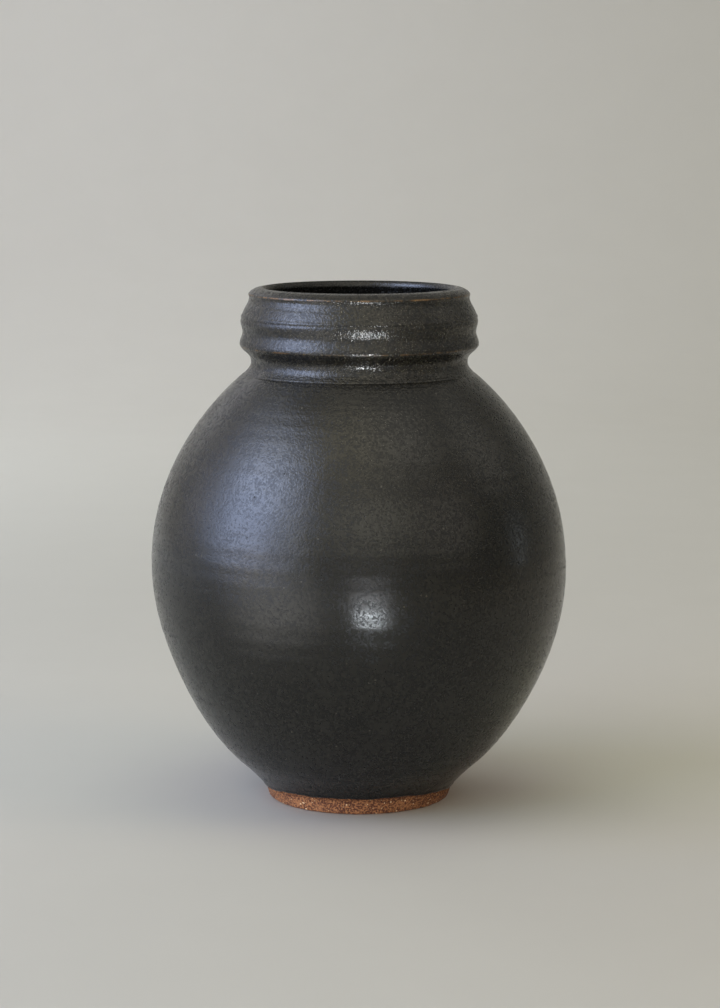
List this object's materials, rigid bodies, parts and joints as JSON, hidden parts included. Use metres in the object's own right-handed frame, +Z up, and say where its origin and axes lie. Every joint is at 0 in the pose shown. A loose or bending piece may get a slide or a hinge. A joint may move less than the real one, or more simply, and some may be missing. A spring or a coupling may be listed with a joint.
{
  "type": "ceramic vase",
  "caption": "Round black-glazed stoneware vase with a wide mouth, a ridged collar and a bare turned foot, for holding flowers or standing as a display piece.",
  "frame": {"origin": "centre of the standing face of the foot", "axes": "+Z up along the axis of the pot; every horizontal direction is alike, and the side seen from the front faces -Y"},
  "size_m": [0.202, 0.202, 0.25],
  "materials": {
    "bare_clay": "matt, open, speckled with pale and dark grog",
    "slip": "matt, fine",
    "iron_glaze": "satin, pinholed, breaking to brown on the edges",
    "liner_glaze": "satin gloss"
  },
  "bodies": {
    "root": {"foot_ring": "bare_clay", "lower_bowl": "bare_clay", "upper_bowl": "bare_clay", "neck_ring": "bare_clay", "collar": "bare_clay", "foot_slip": "slip", "belly_slip": "slip", "neck_slip": "slip", "collar_slip": "slip", "outer_glaze": "iron_glaze", "liner_glaze": "liner_glaze"}
  },
  "joints": []
}
